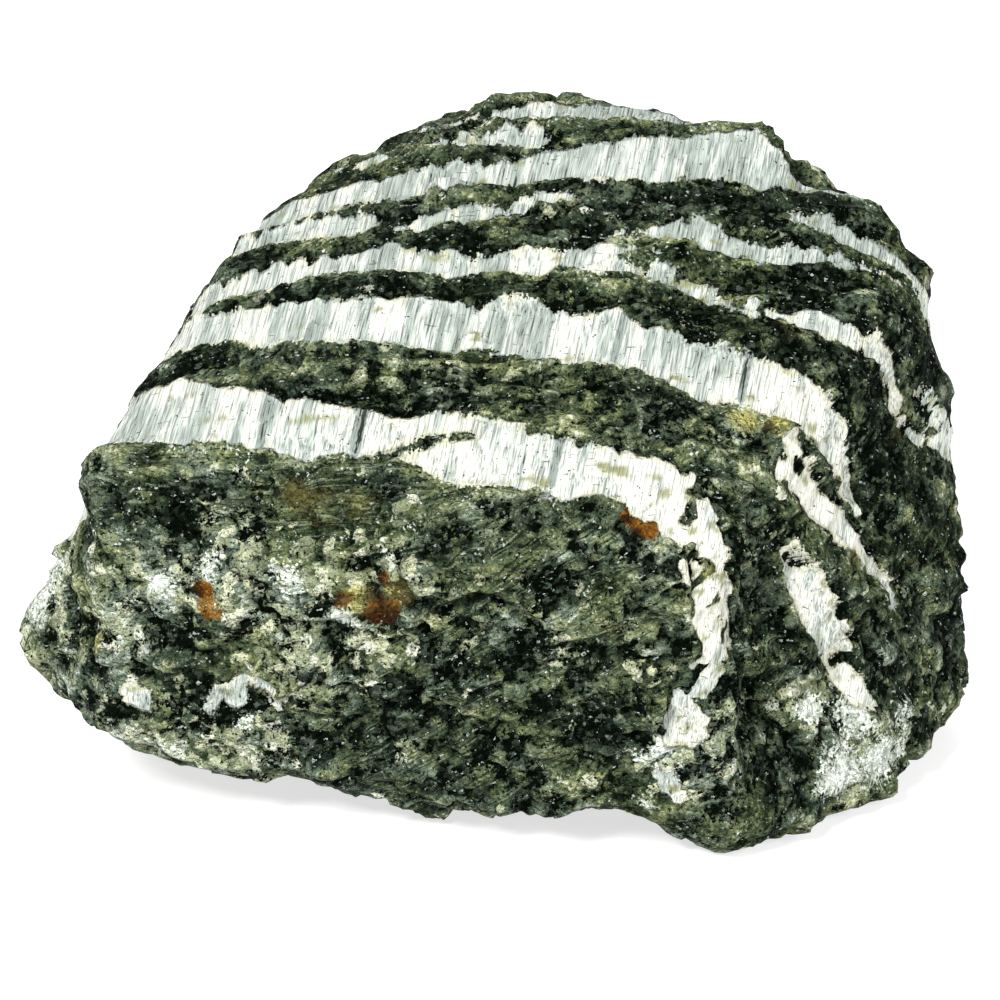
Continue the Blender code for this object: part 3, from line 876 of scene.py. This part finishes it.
# %% Blocks, clusters and painted glints
block_share = weighted(rock, given["Pale"], 0.8, block[0])
middle = between(rock, given["Block Rim"], 0.84, 0.66)
pale_block = times(rock, between(rock, block_share, 0.96, 0.98), middle)
block_look = colours(rock, block[1], (
    (0.0, 0.16, 0.19, 0.11), (0.35, 0.33, 0.36, 0.22),
    (0.7, 0.58, 0.6, 0.4), (1.0, 0.74, 0.76, 0.64),
))
block_look = blend(rock, between(rock, fine, 0.46, 0.34, False), block_look, (0.22, 0.26, 0.16))
look = blend(rock, times(rock, pale_block, 0.85), look, block_look)

# black clusters and loose black specks
cluster = weighted(rock, crumb[1], 0.17, given["Clump"])
cluster = weighted(rock, fine, 0.4, cluster)
cluster = maths(rock, "SUBTRACT", cluster, 0.2)
black = between(rock, cluster, 0.9, 0.945)
halo = times(rock, between(rock, cluster, 0.8, 0.92), 0.6)
look = blend(rock, halo, look, (0.01, 0.016, 0.009))
darkness = maths(rock, "MAXIMUM", black, between(rock, fine, 0.35, 0.31))
black_look = colours(rock, crumb[0], (
    (0.0, 0.001, 0.002, 0.001), (0.6, 0.002, 0.004, 0.002),
    (0.85, 0.012, 0.018, 0.012), (1.0, 0.06, 0.08, 0.06),
))
look = blend(rock, darkness, look, black_look)

# painted glints: pale slivers painted where thin facets would catch the light, painted highlights
facet = weighted(rock, black, 0.08, crumb[2])
facet = weighted(rock, block[2], 0.12, facet)
core = weighted(rock, fine, 1.3, given["Crumb Rim"])
core = weighted(rock, brush, 1.8, core)
painted_glint = times(rock, between(rock, facet, 0.82, 0.86), between(rock, core, 1.68, 1.56))
look = blend(rock, times(rock, painted_glint, 0.75), look, (0.44, 0.5, 0.45))
print(len(rock.nodes), "nodes with the grains")

# %% [markdown]
# ## Rust, stain and chalk
# Three things came last to the real stone and lie over the rest. Iron has rusted in a few spots. Ochre has
# soaked into the rock and tints it, so it multiplies what is there. A chalky crust clings here and there,
# mostly to the foot, and leaves the black clusters bare. Fine noise breaks up all their edges.

# %% The last three coats
rusty = weighted(rock, fine, 1.0, given["Rust"])
rust_colour = colours(rock, cluster, (
    (0.58, 0.31, 0.18, 0.05), (0.7, 0.22, 0.1, 0.016), (0.8, 0.14, 0.055, 0.009),
    (0.92, 0.03, 0.014, 0.005),
))
look = blend(rock, between(rock, rusty, 0.72, 0.86), look, rust_colour)
stained = weighted(rock, fine, 0.6, given["Stain"])
stain_look = blend(rock, 1.0, look, (1.25, 1.12, 0.58), "MULTIPLY")
stain_look = blend(rock, 0.25, stain_look, (0.28, 0.24, 0.09))
look = blend(rock, between(rock, stained, 0.5, 0.95), look, stain_look)
chalk = weighted(rock, fine, 1.4, times(rock, given["Coating"], 0.9))
chalk = weighted(rock, crumb[1], 0.3, chalk)
chalk = weighted(rock, cluster, -0.9, chalk)
chalk_tone = weighted(rock, chalk, 0.6, times(rock, crumb[0], 0.5))
chalk_colour = colours(rock, chalk_tone, (
    (0.2, 0.2, 0.26, 0.19), (0.5, 0.44, 0.5, 0.41), (0.8, 0.82, 0.85, 0.78),
))
look = blend(rock, between(rock, chalk, 0.37, 0.57), look, chalk_colour)
fill(rock, made["Color"], look)
fill(rock, made["Roughness"], weighted(rock, darkness, -0.18, 0.62))
print(len(rock.nodes), "nodes in", rock.name)

# %% [markdown]
# ## Silky fibres
# A vein is a wall of fibres seen from the side. They are finer than the eye, but they split into bundles.
# So thin dark lines and soft grey columns run across the band, a few cracks run along it, and crumbs of
# rock stick to it. One noise drawn out across the band gives the lines, one along it the cracks. Near the
# walls the rock has tinted the fibres.

# %% The group of silky fibres
silk, given, made = group(
    "silky fibres",
    {"Bands": VECTOR, "Fine": NUMBER, "Bundle": NUMBER, "Seam": NUMBER, "Depth": NUMBER, "Lines": NUMBER},
    {"Color": COLOUR, "Roughness": NUMBER},
)
bundle, lines = given["Bundle"], given["Lines"]
shade = weighted(silk, lines, 0.25, maths(silk, "SUBTRACT", bundle, 0.125))
body = colours(silk, shade, (
    (0.62, 0.25, 0.29, 0.26), (0.7, 0.43, 0.48, 0.43),
    (0.78, 0.59, 0.62, 0.57), (0.9, 0.72, 0.72, 0.64),
))

# fine lines between bundles, splits where a bundle is dark, and cracks along the band
line = times(silk, between(silk, lines, 0.46, 0.34), between(silk, bundle, 1.1, 0.72))
look = blend(silk, times(silk, line, 0.85), body, (0.25, 0.28, 0.26))
split = weighted(silk, bundle, 0.5, lines)
look = blend(silk, between(silk, split, 0.64, 0.58), look, (0.035, 0.04, 0.035))
crack = noise(silk, stretched(silk, given["Bands"], (1.3, 1.5, 0.17)))
crack = times(silk, between(silk, crack, 0.3, 0.25), 0.85)
look = blend(silk, crack, look, (0.1, 0.11, 0.08))

# dark specks, olive crumbs and the tinted edge
look = blend(silk, between(silk, given["Fine"], 0.295, 0.26), look, (0.04, 0.045, 0.04))
look = blend(silk, times(silk, given["Seam"], 0.85), look, (0.22, 0.23, 0.09))
edge = times(silk, between(silk, given["Depth"], 0.7, 0), between(silk, bundle, 0.7, 0.85))
look = blend(silk, times(silk, edge, 0.6), look, (0.5, 0.5, 0.32))
fill(silk, made["Color"], look)
fill(silk, made["Roughness"], weighted(silk, lines, -0.2, 0.6))
print(len(silk.nodes), "nodes in", silk.name)

# %% [markdown]
# ## The stone's material
# The skin carries the mineral maps, and the material reads each by its name. Where fibres end, each bundle
# stops at a different height, so the noise of the fibre lines also frays the border of a vein. A renderer
# works a bump out three times, so only cheap patterns feed it: the fine noise and the cells' rims on rock,
# the lines on fibres.

# %% Rock and fibres side by side
material, shader = surface("zebra stone")
tree = material.node_tree


def own(tree, name):
    """The value of the mesh's attribute with this name."""
    return add(tree, "Attribute", {"attribute_name": name}).outputs["Fac"]


def placed(tree, source, **inputs):
    """The outputs of a node that stands for a group, with its inputs filled."""
    return add(tree, "Group", {"node_tree": source}, **inputs).outputs


where = placed(tree, axes)
grain = placed(tree, grains, Place=where["Place"])
shared = {name.replace(" ", "_"): grain[name] for name in grain.keys()}
in_slant = between(tree, own(tree, "slanted"), 0.15, 0.35)
turn = add(tree, "Mix", {"data_type": "VECTOR"}, in0=in_slant, in4=where["Bands"], in5=where["Slanted"])
rock_maps = ("Ground", "Cool", "Clump", "Pale", "Brushed", "Rust", "Stain", "Coating")
stone_look = placed(
    tree, rock, Streaks=turn.outputs[1], **shared, **{name: own(tree, name.lower()) for name in rock_maps}
)
lines = noise(tree, stretched(tree, where["Bands"], (0.14, 0.5, 3)))
FRAY, GRAIN_FRAY = 0.25, 0.7  # how many millimetres the lines and the fine noise move the border of a vein
depth_here = weighted(tree, lines, FRAY, own(tree, "vein"))
middle = (FRAY + GRAIN_FRAY) / 2  # both noises lie round a half
depth_here = weighted(tree, grain["Fine"], GRAIN_FRAY, maths(tree, "SUBTRACT", depth_here, middle))
silk_look = placed(
    tree, silk, Bands=where["Bands"], Fine=grain["Fine"], Bundle=own(tree, "bundle"),
    Seam=own(tree, "seam"), Depth=depth_here, Lines=lines,
)
print("rock takes", len(rock_maps), "maps")


# %% Colour, gloss and bump
def mixed(tree, share, first, second):
    """The first number, going over to the second as the share goes to 1."""
    return add(tree, "Mix", in0=share, in2=first, in3=second).outputs[0]


BUMP_DEPTH = 0.45  # in millimetres
in_vein = between(tree, depth_here, -0.05, 0.05)
fill(tree, shader["Base Color"], blend(tree, in_vein, stone_look["Color"], silk_look["Color"]))
rough = mixed(tree, in_vein, stone_look["Roughness"], silk_look["Roughness"])
fill(tree, shader["Roughness"], rough)
grain_height = weighted(tree, grain["Crumb Rim"], -0.8, grain["Fine"])
grain_height = weighted(tree, grain["Block Rim"], -1.6, grain_height)
height = mixed(tree, between(tree, own(tree, "vein"), -0.2, 0.2), grain_height, lines)
bump = add(tree, "Bump", Strength=1.0, Distance=BUMP_DEPTH * MM, Height=height)
fill(tree, shader["Normal"], bump.outputs[0])
shader["Specular IOR Level"].default_value = 0.01  # a dull broken face, with no sheen at the edges
skin.data.materials.append(material)
print(len(tree.nodes), "nodes in", material.name)

# %% [markdown]
# ## Floor and light
# A stone like this is photographed on white with light from all around, so that no band hides in shadow.
# An even world does that, and three soft lamps give the relief its direction: a key lamp in front, up on
# the left, and weaker ones at the right and behind. The white paper glows a little, as it does in a
# photograph that is exposed for a dark stone.

# %% The floor
FLOOR_HALF = 1.2  # in metres
PAPER = {
    "Base Color": (0.5, 0.5, 0.5, 1), "Emission Color": (1, 1, 1, 1), "Emission Strength": 0.68,
    "Roughness": 0.9, "Specular IOR Level": 0.1,
}
floor_points = np.array([(-1, -1, 0), (1, -1, 0), (1, 1, 0), (-1, 1, 0)]) * FLOOR_HALF / MM
floor = mesh_piece("floor", floor_points, np.array([(0, 1, 2, 3)]), {})
paper, paper_shader = surface("white paper")
for label, value in PAPER.items():
    paper_shader[label].default_value = value
floor.data.materials.append(paper)
print(floor.name, "is", 2 * FLOOR_HALF, "m wide")

# %% The room and the lamps
scene = bpy.context.scene
scene.world = bpy.data.worlds.new("white room")
scene.world.use_nodes = True
room = scene.world.node_tree.nodes["Background"]
room.inputs["Color"].default_value = (0.97, 0.985, 1.0, 1)
room.inputs["Strength"].default_value = 0.39


def aimed(name, data, place, target):
    """An object with this lamp or camera, at a place in metres and turned to the target."""
    holder = bpy.data.objects.new(name, data)
    scene.collection.objects.link(holder)
    holder.location = place
    holder.rotation_euler = (target - holder.location).to_track_quat("-Z", "Y").to_euler()
    return holder


AIM = Vector((0, 0, 0.02))  # a point inside the stone, in metres
LAMPS = {  # where each lamp is in mm, its watts, and how wide it is in mm
    "key lamp": ((-160, -300, 300), 2.5, 110),
    "right lamp": ((280, -240, 200), 0.9, 160),
    "back lamp": ((40, 330, 240), 0.9, 200),
}
for name, (place, watts, width) in LAMPS.items():
    lamp = bpy.data.lights.new(name, "AREA")
    lamp.energy = watts
    lamp.size = width * MM
    aimed(name, lamp, Vector(place) * MM, AIM)
print(len(LAMPS), "soft lamps and a white room")

# %% [markdown]
# ## The camera
# The photograph looks a little down on the stone from straight in front, with a long lens, so the bands
# hardly converge. A 150 mm lens from 31 cm away gives a picture that is 75 mm wide at the stone.

# %% The camera
TARGET = np.array((0, 0, 20.3)) + SETTLE  # in millimetres, like the distance
DISTANCE = 312.5
RISE = np.radians(20)  # the camera looks down at this angle
camera = bpy.data.cameras.new("camera")
camera.lens = 150
camera.sensor_width = 36
eye = TARGET + DISTANCE * np.array((0, -np.cos(RISE), np.sin(RISE)))
scene.camera = aimed("camera", camera, Vector(eye) * MM, Vector(TARGET) * MM)
scene.view_settings.view_transform = "Standard"
scene.view_settings.look = "None"
scene.view_settings.exposure = 0.0
print("camera at", eye.round(1), "mm")
